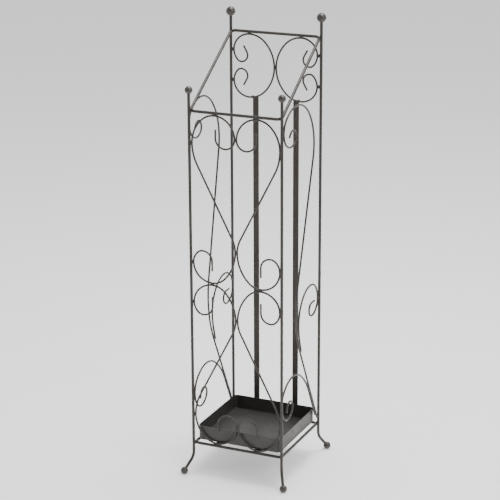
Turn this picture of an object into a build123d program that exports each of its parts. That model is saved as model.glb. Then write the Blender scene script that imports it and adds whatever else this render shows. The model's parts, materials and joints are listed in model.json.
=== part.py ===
from build123d import *
import os
from math import atan2, cos, degrees, hypot, radians, sin, sqrt, tan

os.makedirs("parts", exist_ok=True)

# Umbrella stand of welded steel rod and wire, with a loose drip tray.
# Millimetres. +Z is up, -Y is the low front, and the origin is on the floor
# under the middle of the stand. Every wire is drawn by its centreline.

# ---- stock ----
rod_diameter = 5.0
wire_diameter = 3.2
bar_width = 10.0
bar_thickness = 2.0
sheet = 1.0
weld_gap = 0.3  # left between two welded pieces

# ---- frame ----
post_spacing = 164.0  # from post axis to post axis, both ways
ring_height = 54.0  # centreline of the bottom ring above the floor
front_rise = 582.0  # front rail above the bottom ring
rear_rise = 687.0  # rear rail above the bottom ring
ring_inset = 1.6  # rails stand this far inside the plane of the post axes
ring_bend = 8.0  # centreline radius of a ring's corners
front_stub = 34.5  # finial centre above the front rail
rear_stub = 31.5  # finial centre above the rear rail

# ---- balls ----
small_ball = 13.0  # feet and front finials
large_ball = 16.0  # rear finials
socket_depth = 4.0  # how far a rod runs into its ball
socket_clearance = 0.05

# ---- legs ----
leg_drop = 15.0  # straight post below the bottom ring
leg_bend = 25.0
leg_angle = 40.0  # from the vertical
leg_direction = 58.0  # in plan, from the side towards the front or back

# ---- drip tray ----
tray_width = 153.0
tray_height = 25.5
tray_corner = 8.0
tray_fold = 2.0  # outside radius where the walls turn up from the floor
tray_gap = 0.3  # between the tray and the bars it stands on

# ---- derived ----
rod_radius = rod_diameter / 2
wire_radius = wire_diameter / 2
post_offset = post_spacing / 2
rail_offset = post_offset - ring_inset
mid_rise = front_rise / 2
beside_rod = rod_radius + wire_radius + weld_gap  # wire axis to rod axis
beside_wire = wire_diameter + weld_gap  # wire axis to wire axis
at_post = post_offset - sqrt(beside_rod**2 - ring_inset**2)
at_middle = beside_wire / 2
bar_level = ring_height + rod_radius + weld_gap + bar_thickness / 2
tray_base = bar_level + bar_thickness / 2 + tray_gap

SIDES = {"left": -1, "right": 1}
ENDS = {"front": -1, "rear": 1}
UP = Vector(0, 0, 1)
DOWNWARDS = -90.0  # a heading: degrees anticlockwise from level


# ---- wire bending ----
# A bending list holds straight runs, as plain lengths, and bends, as
# (radius, degrees). A turn is 1 to the left and -1 to the right.
def quarter_turn(along, across, turn):
    """A right-angled bend of two eighth turns that reaches so far along and across."""
    near, far = sin(radians(45)), 1 - sin(radians(45))
    spread = near**2 - far**2
    first_radius = (near * along - far * across) / spread
    second_radius = (near * across - far * along) / spread
    return [(first_radius, 45 * turn), (second_radius, 45 * turn)]


def through(points, turn):
    """Quarter turns through points where the wire runs upright, level, upright and so on."""
    bends = []
    upright = True
    for here, there in zip(points, points[1:]):
        sideways, rise = abs(there[0] - here[0]), abs(there[1] - here[1])
        along, across = (rise, sideways) if upright else (sideways, rise)
        bends += quarter_turn(along, across, turn)
        upright = not upright
    return bends


def s_bend(here, there, first_radius, second_radius, turn):
    """A bend, a slant and the opposite bend between two points where the wire runs upright."""
    across, along = abs(there[0] - here[0]), abs(there[1] - here[1])
    both = first_radius + second_radius
    slant = sqrt(along**2 + (across - both) ** 2 - both**2)
    angle = degrees(atan2(across - both, along) + atan2(both, slant))
    return [(first_radius, angle * turn), slant, (second_radius, -angle * turn)]


def bend_and_run(here, heading, there, last_heading):
    """One bend and a straight run from a point and heading to another."""
    east, north = there[0] - here[0], there[1] - here[1]
    first, last = radians(heading), radians(last_heading)
    before = (east * sin(last) - north * cos(last)) / sin(last - first)
    after = (north * cos(first) - east * sin(first)) / sin(last - first)
    radius = before / tan(abs(last - first) / 2)
    return [(radius, last_heading - heading), after - before]


def curl(tip, heading, radius, turn, first_point):
    """Start and bends of a straight tip that curls until it runs down through the point."""
    angle = turn * (DOWNWARDS - heading) % 360
    start = (
        first_point[0] + turn * radius * (1 + sin(radians(heading))) - tip * cos(radians(heading)),
        first_point[1] - turn * radius * cos(radians(heading)) - tip * sin(radians(heading)),
    )
    return start, [tip, (radius, turn * angle)]


def upright_plane(origin, sideways, upwards=UP):
    """The plane through origin whose local x runs sideways and local y upwards."""
    return Plane(origin=origin, x_dir=sideways, z_dir=Vector(sideways).cross(upwards))


def bent_stock(plane, start, heading, bends, profile):
    """Sweep a profile sketch along a bending list drawn on the plane."""
    point = plane.from_local_coords(start)
    direction = plane.x_dir * cos(radians(heading)) + plane.y_dir * sin(radians(heading))
    with BuildPart() as piece:
        with BuildSketch(Plane(origin=point, x_dir=plane.z_dir, z_dir=direction)):
            profile()
        with BuildLine(plane) as centreline:
            for bend in bends:
                if isinstance(bend, tuple):
                    edge = JernArc(start=point, tangent=direction, radius=bend[0], arc_size=bend[1])
                else:
                    edge = Line(point, point + direction * bend)
                point = edge @ 1
                direction = edge % 1
        sweep(path=centreline.line)
    return piece


def round_rod():
    Circle(rod_radius)


def round_wire():
    Circle(wire_radius)


def flat_bar():
    Rectangle(bar_width, bar_thickness)


def keep(name, piece):
    """Name a finished piece and write its file."""
    piece.part.label = name
    export_step(piece.part, f"parts/{name}.step")


# ---- posts, finials and feet ----
def post(x_side, y_side, finial_height, finial_ball):
    """A post from inside its finial to inside its foot, with the foot's centre and ankle."""
    top = finial_height - finial_ball / 2 + socket_depth
    bend_start = ring_height - leg_drop
    bend_end = bend_start - leg_bend * sin(radians(leg_angle))
    leg_run = (bend_end - small_ball / 2) / cos(radians(leg_angle))
    outwards = (x_side * cos(radians(leg_direction)), y_side * sin(radians(leg_direction)), 0)
    plane = upright_plane((x_side * post_offset, y_side * post_offset, 0), outwards)
    bends = [top - bend_start, (leg_bend, leg_angle), leg_run - small_ball / 2 + socket_depth]
    foot_reach = leg_bend * (1 - cos(radians(leg_angle))) + leg_run * sin(radians(leg_angle))
    foot_centre = plane.from_local_coords((foot_reach, small_ball / 2))
    ankle = plane.x_dir * -sin(radians(leg_angle)) + UP * cos(radians(leg_angle))
    return bent_stock(plane, (0, top), DOWNWARDS, bends, round_rod), foot_centre, ankle


def drilled_ball(centre, diameter, rod_side):
    """A ball with a blind socket that opens towards the rod."""
    seat = diameter / 2 - socket_depth - socket_clearance
    with BuildPart() as ball:
        with Locations(centre):
            Sphere(diameter / 2)
        with BuildSketch(Plane(origin=centre + rod_side * seat, z_dir=rod_side)):
            Circle(rod_radius + socket_clearance)
        extrude(amount=diameter, mode=Mode.SUBTRACT)
    return ball


front_finial_height = ring_height + front_rise + front_stub
rear_finial_height = ring_height + rear_rise + rear_stub
for side, x_side in SIDES.items():
    for end, y_side in ENDS.items():
        finial_height = front_finial_height if end == "front" else rear_finial_height
        finial_ball = small_ball if end == "front" else large_ball
        finial_centre = Vector(x_side * post_offset, y_side * post_offset, finial_height)
        rod, foot_centre, ankle = post(x_side, y_side, finial_height, finial_ball)
        keep(f"post_{end}_{side}", rod)
        keep(f"finial_{end}_{side}", drilled_ball(finial_centre, finial_ball, -UP))
        keep(f"foot_{end}_{side}", drilled_ball(foot_centre, small_ball, ankle))


# ---- rings ----
def ring(front_height, rear_height):
    """A closed rod ring inside the posts that climbs from its front to its rear rail."""
    width = 2 * rail_offset
    climb = rear_height - front_height
    length = hypot(width, climb)
    centre = (0, 0, (front_height + rear_height) / 2)
    plane = Plane(origin=centre, x_dir=(1, 0, 0), z_dir=(0, -climb, width))
    across = width - 2 * ring_bend
    along = length - 2 * ring_bend
    corner = (ring_bend, 90)
    bends = [across / 2, corner, along, corner, across, corner, along, corner, across / 2]
    return bent_stock(plane, (0, -length / 2), 0, bends, round_rod)


keep("bottom_ring", ring(ring_height, ring_height))
keep("top_ring", ring(ring_height + front_rise, ring_height + rear_rise))

# ---- front scrolls: halves of a tall heart, one pair upright and one upside down ----
# Points are (distance from the middle, rise above the bottom ring).
heart_tip = 14.0
heart_curl = 17.0
heart_slant_bends = (79.0, 50.0)
heart_lobe = (at_middle, 540.8)  # beside the other half
heart_crown = (37.5, front_rise - beside_rod)  # under the rail
heart_shoulder = (at_post, 529.0)  # beside the post
heart_waist = (at_middle, 350.5)  # beside the other half again
loop_base = (44.0, mid_rise + at_middle)  # on the crown of the upside-down loop
loop_side = (at_post, 326.0)  # beside the post again
loop_crown = (61.0, 347.0)
loop_inside = (44.0, 330.3)
loop_tip = 16.6

heart_curl_side = (heart_lobe[0] + 2 * heart_curl, heart_lobe[1])
heart_curl_floor = (heart_lobe[0] + heart_curl, heart_lobe[1] - heart_curl)
heart_start = (heart_curl_side[0], heart_curl_side[1] + heart_tip)
heart_lobe_points = [heart_curl_side, heart_curl_floor, heart_lobe, heart_crown, heart_shoulder]
heart_loop_points = [heart_waist, loop_base, loop_side, loop_crown, loop_inside]
heart_bends = [
    heart_tip,
    *through(heart_lobe_points, -1),
    *s_bend(heart_shoulder, heart_waist, *heart_slant_bends, -1),
    *through(heart_loop_points, 1),
    loop_tip,
]
for side, x_side in SIDES.items():
    upper_plane = upright_plane((0, -rail_offset, ring_height), (x_side, 0, 0))
    lower_plane = upright_plane((0, -rail_offset, ring_height + front_rise), (x_side, 0, 0), -UP)
    for level, plane in (("upper", upper_plane), ("lower", lower_plane)):
        scroll = bent_stock(plane, heart_start, DOWNWARDS, heart_bends, round_wire)
        keep(f"front_scroll_{level}_{side}", scroll)

# ---- back scrolls: a C with a curl at each end, the same up and down ----
c_tip = 12.2
c_heading = -119.0
c_curl = 11.5
c_back = (at_middle, 628.8)  # the middle of the C, beside the other one
c_top = (47.0, rear_rise - beside_rod)  # under the rail
c_side = (75.7, 654.8)
c_curl_floor = (62.1, 634.8)
c_inside = (c_curl_floor[0] - c_curl, c_curl_floor[1] + c_curl)

c_start, c_tip_bends = curl(c_tip, c_heading, c_curl, 1, c_inside)
c_half = c_tip_bends + through([c_inside, c_curl_floor, c_side, c_top, c_back], 1)
for side, x_side in SIDES.items():
    plane = upright_plane((0, rail_offset, ring_height), (x_side, 0, 0))
    scroll = bent_stock(plane, c_start, c_heading, c_half + c_half[::-1], round_wire)
    keep(f"back_scroll_{side}", scroll)

# ---- back bars: lapped behind the back scrolls, down, then forward under the tray ----
bar_offset = 37.0  # from the middle of the stand
bar_bend = 4.0
c_bottom_rise = 2 * c_back[1] - c_top[1]
bar_top = ring_height + c_bottom_rise + wire_radius
bar_back = rail_offset + wire_radius + weld_gap + bar_thickness / 2
bar_front = rail_offset - wire_radius - weld_gap
bar_bends = [
    bar_top - bar_level - bar_bend,
    (bar_bend, -90),
    bar_back - bar_bend + bar_front,
]
for side, x_side in SIDES.items():
    plane = upright_plane((x_side * bar_offset, 0, 0), (0, 1, 0))
    bar = bent_stock(plane, (bar_back, bar_top), DOWNWARDS, bar_bends, flat_bar)
    keep(f"back_bar_{side}", bar)


# ---- side scrolls ----
# Points are (distance towards the rear, rise above the bottom ring).
def side_scrolls(name, plane_of, start, heading, bends):
    """The same bent wire on the left and on the right side."""
    for side, x_side in SIDES.items():
        scroll = bent_stock(plane_of(x_side), start, heading, bends, round_wire)
        keep(f"side_scroll_{name}_{side}", scroll)


def rail_plane(x_side):
    """The upright plane of a side rail."""
    return upright_plane((x_side * rail_offset, 0, ring_height), (0, 1, 0))


# The long one: a curl at the front post, a high arch, then a sway down to the rear foot.
long_offset = 78.5  # from the middle of the stand to the scroll's plane at the bottom ring
long_toe = 1.72  # the plane turns outwards towards the rear, in degrees
long_lean = 0.77  # and leans outwards towards the top, in degrees
long_tip = 6.7
long_heading = 51.0
long_curl = 12.5
long_inside = (-30.0, 544.7)
long_curl_floor = (-49.6, 530.5)
long_front = (-77.75, 558.5)  # beside the front post
long_crown = (-30.0, 595.0)
long_back = (42.0, 513.5)
long_slant_bends = (85.0, 155.0)
long_sway = (-20.0, 239.0)
long_end = (77.95, 12.3)  # beside the rear post
long_end_heading = -62.4


def long_plane(x_side):
    """The long scroll's own plane, turned and tipped a little outwards."""
    rearwards = Vector(x_side * sin(radians(long_toe)), cos(radians(long_toe)), 0)
    upwards = Vector(x_side * sin(radians(long_lean)), 0, cos(radians(long_lean)))
    return upright_plane((x_side * long_offset, 0, ring_height), rearwards, upwards)


long_start, long_bends = curl(long_tip, long_heading, long_curl, -1, long_inside)
long_bends += through([long_inside, long_curl_floor, long_front, long_crown, long_back], -1)
long_bends += s_bend(long_back, long_sway, *long_slant_bends, -1)
long_bends += bend_and_run(long_sway, DOWNWARDS, long_end, long_end_heading)
side_scrolls("long", long_plane, long_start, long_heading, long_bends)

# The middle one: a curl and a loop at the rear post, with its tail against the long one.
middle_tip = 11.8
middle_heading = 181.5
middle_curl = 11.6
middle_inside = (39.7, 222.0)
middle_floor = (52.9, 210.3)
middle_back = (at_post, 234.8)  # beside the rear post
middle_crown = (44.9, 267.0)
middle_front = (-5.9, 210.8)
middle_end = (5.2, 160.7)  # beside the long scroll
middle_end_heading = -72.0

middle_start, middle_bends = curl(middle_tip, middle_heading, middle_curl, 1, middle_inside)
middle_bends += through([middle_inside, middle_floor, middle_back, middle_crown, middle_front], 1)
middle_bends += bend_and_run(middle_front, DOWNWARDS, middle_end, middle_end_heading)
side_scrolls("middle", rail_plane, middle_start, middle_heading, middle_bends)

# The lower one: a curl and an arch at the front post, then down along the long one.
lower_tip = 8.9
lower_heading = 70.0
lower_curl = 11.9
lower_inside = (-31.5, 76.0)
lower_floor = (-53.3, 58.0)
lower_front = (-at_post, 88.3)  # beside the front post
lower_crown = (-30.7, 128.2)
lower_arch = 57.0
lower_arch_angle = 31.0
lower_end = (69.9, 20.0)  # beside the long scroll

lower_start, lower_bends = curl(lower_tip, lower_heading, lower_curl, -1, lower_inside)
lower_bends += through([lower_inside, lower_floor, lower_front, lower_crown], -1)
lower_bends += [(lower_arch, -lower_arch_angle)]
lower_haunch = (
    lower_crown[0] + lower_arch * sin(radians(lower_arch_angle)),
    lower_crown[1] - lower_arch * (1 - cos(radians(lower_arch_angle))),
)
lower_bends += bend_and_run(lower_haunch, -lower_arch_angle, lower_end, long_end_heading)
side_scrolls("lower", rail_plane, lower_start, lower_heading, lower_bends)

# ---- drip tray: a square sheet-metal tray with round corners, open at the top ----
with BuildPart() as drip_tray:
    with BuildSketch(Plane.XY.offset(tray_base)):
        RectangleRounded(tray_width, tray_width, tray_corner)
    extrude(amount=tray_height)
    fillet(drip_tray.faces().sort_by(Axis.Z)[0].edges(), radius=tray_fold)
    with BuildSketch(Plane.XY.offset(tray_base + sheet)):
        RectangleRounded(tray_width - 2 * sheet, tray_width - 2 * sheet, tray_corner - sheet)
    extrude(amount=tray_height, mode=Mode.SUBTRACT)
    inside_floor = drip_tray.faces().filter_by(Axis.Z).sort_by(Axis.Z)[1]
    fillet(inside_floor.edges(), radius=tray_fold - sheet)
keep("drip_tray", drip_tray)
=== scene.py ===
import itertools
import json
import math

import bmesh
import bpy
from mathutils import Matrix, Vector, noise
from mathutils.bvhtree import BVHTree


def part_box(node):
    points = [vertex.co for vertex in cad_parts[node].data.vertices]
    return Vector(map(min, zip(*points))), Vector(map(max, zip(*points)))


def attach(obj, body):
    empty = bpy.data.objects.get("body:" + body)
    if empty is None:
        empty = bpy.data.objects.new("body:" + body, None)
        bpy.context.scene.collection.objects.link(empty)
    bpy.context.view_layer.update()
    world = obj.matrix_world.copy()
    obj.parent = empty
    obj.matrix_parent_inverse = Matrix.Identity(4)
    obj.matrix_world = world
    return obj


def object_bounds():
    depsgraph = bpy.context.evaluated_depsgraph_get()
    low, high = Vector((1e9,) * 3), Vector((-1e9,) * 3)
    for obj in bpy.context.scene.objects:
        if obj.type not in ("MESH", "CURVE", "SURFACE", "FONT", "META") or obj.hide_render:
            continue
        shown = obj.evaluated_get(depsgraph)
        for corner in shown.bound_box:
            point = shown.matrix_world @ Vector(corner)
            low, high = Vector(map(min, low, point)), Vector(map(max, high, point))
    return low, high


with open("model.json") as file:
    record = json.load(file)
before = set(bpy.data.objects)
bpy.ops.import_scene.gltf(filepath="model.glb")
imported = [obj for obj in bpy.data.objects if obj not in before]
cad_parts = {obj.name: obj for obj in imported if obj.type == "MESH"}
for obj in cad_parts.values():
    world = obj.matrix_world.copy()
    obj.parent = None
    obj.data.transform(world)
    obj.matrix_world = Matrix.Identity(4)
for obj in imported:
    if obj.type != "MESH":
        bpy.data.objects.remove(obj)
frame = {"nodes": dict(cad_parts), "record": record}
cad_low, cad_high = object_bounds()
scene = bpy.context.scene
MM = 0.001


# ---- node helpers ----
def node_of(tree, kind, **inputs):
    """Add a shader node and set its plain inputs by name."""
    node = tree.nodes.new(kind)
    for name, value in inputs.items():
        node.inputs[name.replace("_", " ")].default_value = value
    return node


def noise_at(tree, feature_size, detail):
    """A noise whose features are about this size in metres, on the object's own coordinates."""
    place = node_of(tree, "ShaderNodeTexCoord")
    texture = node_of(tree, "ShaderNodeTexNoise", Scale=1 / feature_size, Detail=detail, Roughness=0.55)
    tree.links.new(place.outputs["Object"], texture.inputs["Vector"])
    return texture.outputs["Fac"]


def remap(tree, value, from_low, from_high, to_low, to_high):
    """Spread a value from one range to another."""
    node = node_of(
        tree,
        "ShaderNodeMapRange",
        From_Min=from_low,
        From_Max=from_high,
        To_Min=to_low,
        To_Max=to_high,
    )
    tree.links.new(value, node.inputs["Value"])
    return node.outputs["Result"]


def mix_colour(tree, amount, first, second):
    """Blend two colours, or an earlier blend and a colour, by a value."""
    node = tree.nodes.new("ShaderNodeMix")
    node.data_type = "RGBA"
    factor, _, _, _, _, _, first_socket, second_socket = node.inputs[:8]
    tree.links.new(amount, factor)
    if isinstance(first, bpy.types.NodeSocket):
        tree.links.new(first, first_socket)
    else:
        first_socket.default_value = (*first, 1)
    second_socket.default_value = (*second, 1)
    return node.outputs[2]


# ---- powder coat ----
METALLIC = 0.1
CLOUD_SIZE = 0.035  # sizes of the coat's features, in metres
SPECK_SIZE = 0.0009
RUB_SIZE = 0.006
SHEEN_SIZE = 0.012
CLOUD_EDGES = (0.35, 0.65)  # the noise values between which a feature fades in
SPECK_EDGES = (0.60, 0.72)
RUB_EDGES = (0.66, 0.76)
SHEEN_EDGES = (0.3, 0.7)
SPECK_AMOUNT = 0.5  # how far a feature covers what is under it
RUB_AMOUNT = 0.35
SPECK_SHADE = 0.45  # specks are the base colour times this
RUB_SHADE = 1.7  # rubbed spots are the warm colour times this
GLOSSIEST = 0.06  # how far roughness goes below the coat's own
DULLEST = 0.08  # and how far above it
BUMP_STRENGTH = 0.6


def powder_coat(name, base, warm, gloss, roughness, peel_size, peel_depth):
    """Satin powder coat: two tones in soft clouds, fine dark specks, rubbed spots and orange peel."""
    material = bpy.data.materials.new(name)
    material.use_nodes = True
    tree = material.node_tree
    shader = tree.nodes["Principled BSDF"]
    shader.inputs["Metallic"].default_value = METALLIC
    shader.inputs["Specular IOR Level"].default_value = gloss

    clouds = remap(tree, noise_at(tree, CLOUD_SIZE, 3), *CLOUD_EDGES, 0, 1)
    tones = mix_colour(tree, clouds, base, warm)
    specks = remap(tree, noise_at(tree, SPECK_SIZE, 2), *SPECK_EDGES, 0, SPECK_AMOUNT)
    speckled = mix_colour(tree, specks, tones, tuple(SPECK_SHADE * channel for channel in base))
    rubs = remap(tree, noise_at(tree, RUB_SIZE, 5), *RUB_EDGES, 0, RUB_AMOUNT)
    worn = mix_colour(tree, rubs, speckled, tuple(RUB_SHADE * channel for channel in warm))
    tree.links.new(worn, shader.inputs["Base Color"])

    glossiest = roughness - GLOSSIEST
    dullest = roughness + DULLEST
    sheen = remap(tree, noise_at(tree, SHEEN_SIZE, 4), *SHEEN_EDGES, glossiest, dullest)
    tree.links.new(sheen, shader.inputs["Roughness"])

    bump = node_of(tree, "ShaderNodeBump", Strength=BUMP_STRENGTH, Distance=peel_depth)
    tree.links.new(noise_at(tree, peel_size, 2), bump.inputs["Height"])
    tree.links.new(bump.outputs["Normal"], shader.inputs["Normal"])
    return material


GUNMETAL = (0.039, 0.034, 0.031)
GUNMETAL_WARM = (0.051, 0.0445, 0.040)
TRAY_GREY = (0.038, 0.036, 0.033)
TRAY_GREY_WARM = (0.048, 0.045, 0.041)
# name, two tones, gloss, roughness, then the size and depth of the orange peel in metres
coats = {
    "rod_paint": powder_coat("rod_coat", GUNMETAL, GUNMETAL_WARM, 0.30, 0.36, 0.0016, 0.00010),
    "ball_paint": powder_coat("ball_coat", GUNMETAL, GUNMETAL_WARM, 0.50, 0.30, 0.0020, 0.00008),
    "wire_paint": powder_coat("wire_coat", GUNMETAL, GUNMETAL_WARM, 0.30, 0.34, 0.0012, 0.00008),
    "bar_paint": powder_coat("bar_coat", GUNMETAL, GUNMETAL_WARM, 0.25, 0.42, 0.0018, 0.00010),
    "tray_paint": powder_coat("tray_coat", TRAY_GREY, TRAY_GREY_WARM, 0.40, 0.38, 0.0022, 0.00010),
    "weld_paint": powder_coat("weld_coat", GUNMETAL, GUNMETAL_WARM, 0.25, 0.45, 0.0008, 0.00014),
}
for part in frame["record"]["subparts"]:
    slots = frame["nodes"][part["node"]].data.materials
    slots.clear()
    slots.append(coats[part["material_slot"]])


# ---- weld beads ----
BEAD_SPACING = 12 * MM  # touches closer together than this are one weld
BEAD_LENGTH = 3.2 * MM  # half of it, along the seam
WELD_REACH = 0.9 * MM  # widest gap that a bead fills
STUB_REACH = 2.8 * MM  # the same between a back scroll and its post
ROD_BEAD = 2.0 * MM  # radius of a bead on a post or a ring
WIRE_BEAD = 1.7 * MM  # the same where neither piece is one of those
RIPPLE = 0.12  # depth of a bead's lumps as a share of its size
RIPPLE_RATE = 1.7  # about how many lumps there are in one radius of a bead
RIPPLE_SHIFT = 3.1  # moves the lumps between one bead and the next
SAME_WAY = 0.1  # a cross product shorter than this means two directions agree
WELDED = ("post", "top_ring", "bottom_ring", "front_scroll", "back_scroll", "side_scroll", "back_bar")


def touches(first, second, reach):
    """Points where two nodes come within reach of each other, each with the gap's direction."""
    surface = BVHTree.FromPolygons(
        [v.co for v in second.data.vertices], [p.vertices for p in second.data.polygons]
    )
    near = []
    for vertex in first.data.vertices:
        place, _, _, gap = surface.find_nearest(vertex.co, reach)
        if place is not None:
            near.append((gap, vertex.co.copy(), place))
    near.sort(key=lambda found: found[0])
    chosen = []
    for _, here, there in near:
        middle = (here + there) / 2
        if all((middle - other).length > BEAD_SPACING for other, _ in chosen):
            chosen.append((middle, (there - here).normalized()))
    return chosen


def add_bead(mesh, middle, across, face_normal, radius, seed):
    """A lumpy bead that lies along the seam between two rods."""
    along = across.cross(face_normal)
    if along.length < SAME_WAY:
        along = Vector((0, 0, 1))
    along.normalize()
    side = along.cross(across).normalized()
    turn = Matrix((along, across, side)).transposed()
    ball = bmesh.ops.create_icosphere(mesh, subdivisions=3, radius=1)
    for vertex in ball["verts"]:
        shift = Vector((seed * RIPPLE_SHIFT, seed, 0))
        ripple = 1 + RIPPLE * noise.noise(vertex.co * RIPPLE_RATE + shift)
        stretched = Vector((BEAD_LENGTH * vertex.co.x, radius * vertex.co.y, radius * vertex.co.z))
        vertex.co = middle + turn @ (stretched * ripple)


def weld_beads():
    """One mesh of beads for each face of the stand, found from where the solids come close."""
    welded = {name: node for name, node in frame["nodes"].items() if name.startswith(WELDED)}
    boxes = {name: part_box(name) for name in welded}
    meshes = {"front": bmesh.new(), "back": bmesh.new(), "sides": bmesh.new()}
    seed = 0
    for first, second in itertools.combinations(sorted(welded), 2):
        stub = first.startswith("back_scroll") and second.startswith("post_rear")
        reach = STUB_REACH if stub else WELD_REACH
        (low_a, high_a), (low_b, high_b) = boxes[first], boxes[second]
        if any(low_a[i] - reach > high_b[i] or low_b[i] - reach > high_a[i] for i in range(3)):
            continue
        on_side = "side_scroll" in first or "side_scroll" in second
        found = touches(welded[first], welded[second], reach)
        found += touches(welded[second], welded[first], reach)
        placed = []
        for middle, across in found:
            if any((middle - other).length < BEAD_SPACING for other in placed):
                continue
            placed.append(middle)
            face = "sides" if on_side else ("front" if middle.y < 0 else "back")
            normal = Vector((1, 0, 0)) if on_side else Vector((0, 1, 0))
            thick = "post" in second or "post" in first or "ring" in second or "ring" in first
            radius = ROD_BEAD if thick else WIRE_BEAD
            add_bead(meshes[face], middle, across, normal, radius, seed)
            seed += 1
    for face, mesh in meshes.items():
        data = bpy.data.meshes.new(f"welds_{face}")
        mesh.to_mesh(data)
        data.shade_smooth()
        data.materials.append(coats["weld_paint"])
        beads = bpy.data.objects.new(f"welds_{face}", data)
        scene.collection.objects.link(beads)
        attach(beads, "frame")


weld_beads()


# ---- floor ----
FLOOR_REACH = 40.0  # metres from the middle to each edge
FLOOR_CELLS = 16
FLOOR_TONES = ((0.86, 0.86, 0.86), (0.89, 0.89, 0.88))
FLOOR_TONE_SIZE = 0.4
FLOOR_ROUGHNESS = 0.9
FLOOR_GLOW = 0.4  # emission, so that the ground is pale behind the dark paint


def studio_floor():
    """A large pale matte floor under the feet."""
    mesh = bmesh.new()
    bmesh.ops.create_grid(mesh, x_segments=FLOOR_CELLS, y_segments=FLOOR_CELLS, size=FLOOR_REACH)
    data = bpy.data.meshes.new("studio_floor")
    mesh.to_mesh(data)
    material = bpy.data.materials.new("pale_floor")
    material.use_nodes = True
    tree = material.node_tree
    shader = tree.nodes["Principled BSDF"]
    shader.inputs["Roughness"].default_value = FLOOR_ROUGHNESS
    shader.inputs["Emission Color"].default_value = (1, 1, 1, 1)
    shader.inputs["Emission Strength"].default_value = FLOOR_GLOW
    tones = mix_colour(tree, noise_at(tree, FLOOR_TONE_SIZE, 2), *FLOOR_TONES)
    tree.links.new(tones, shader.inputs["Base Color"])
    data.materials.append(material)
    floor = bpy.data.objects.new("studio_floor", data)
    floor.location.z = cad_low.z
    scene.collection.objects.link(floor)


studio_floor()


# ---- studio light ----
def soft_box(name, place, target, size, power):
    """A square area light at place that faces target."""
    light = bpy.data.lights.new(name, "AREA")
    light.size = size
    light.energy = power
    lamp = bpy.data.objects.new(name, light)
    lamp.location = place
    lamp.rotation_euler = (Vector(target) - Vector(place)).to_track_quat("-Z", "Y").to_euler()
    scene.collection.objects.link(lamp)


def studio_world(behind, front):
    """Plain white surroundings, brighter behind the stand than in front of it."""
    world = bpy.data.worlds.new("studio")
    world.use_nodes = True
    tree = world.node_tree
    place = node_of(tree, "ShaderNodeTexCoord")
    split = node_of(tree, "ShaderNodeSeparateXYZ")
    tree.links.new(place.outputs["Generated"], split.inputs["Vector"])
    strength = remap(tree, split.outputs["Y"], -0.5, 0.3, front, behind)
    tree.links.new(strength, tree.nodes["Background"].inputs["Strength"])
    tree.nodes["Background"].inputs["Color"].default_value = (1, 1, 1, 1)
    scene.world = world


stand_middle = (0, 0, (cad_low.z + cad_high.z) / 2)
studio_world(behind=1.0, front=0.25)
soft_box("overhead", place=(0.2, 0.3, 2.4), target=stand_middle, size=1.0, power=58)
soft_box("key", place=(1.8, -0.8, 1.9), target=stand_middle, size=1.2, power=24)
soft_box("fill", place=(-1.8, -1.6, 1.4), target=stand_middle, size=1.2, power=8)


# ---- camera ----
CAMERA_PLACE = (1.1459, -2.5621, 1.2710)  # fitted to the photo, like the lens and the three turns
CAMERA_LENS = 125.9
CAMERA_SENSOR = 36
CAMERA_REACH = 100


def photo_camera():
    """Front right, a little above, with a long lens."""
    data = bpy.data.cameras.new("camera")
    data.lens = CAMERA_LENS
    data.sensor_width = CAMERA_SENSOR
    data.clip_end = CAMERA_REACH
    camera = bpy.data.objects.new("camera", data)
    yaw, pitch, roll = math.radians(24.31), math.radians(17.486), math.radians(-0.255)
    turn = Matrix.Rotation(yaw, 4, "Z")
    turn @= Matrix.Rotation(math.pi / 2 - pitch, 4, "X")
    turn @= Matrix.Rotation(roll, 4, "Z")
    camera.matrix_world = Matrix.Translation(CAMERA_PLACE) @ turn
    scene.collection.objects.link(camera)
    scene.camera = camera


photo_camera()
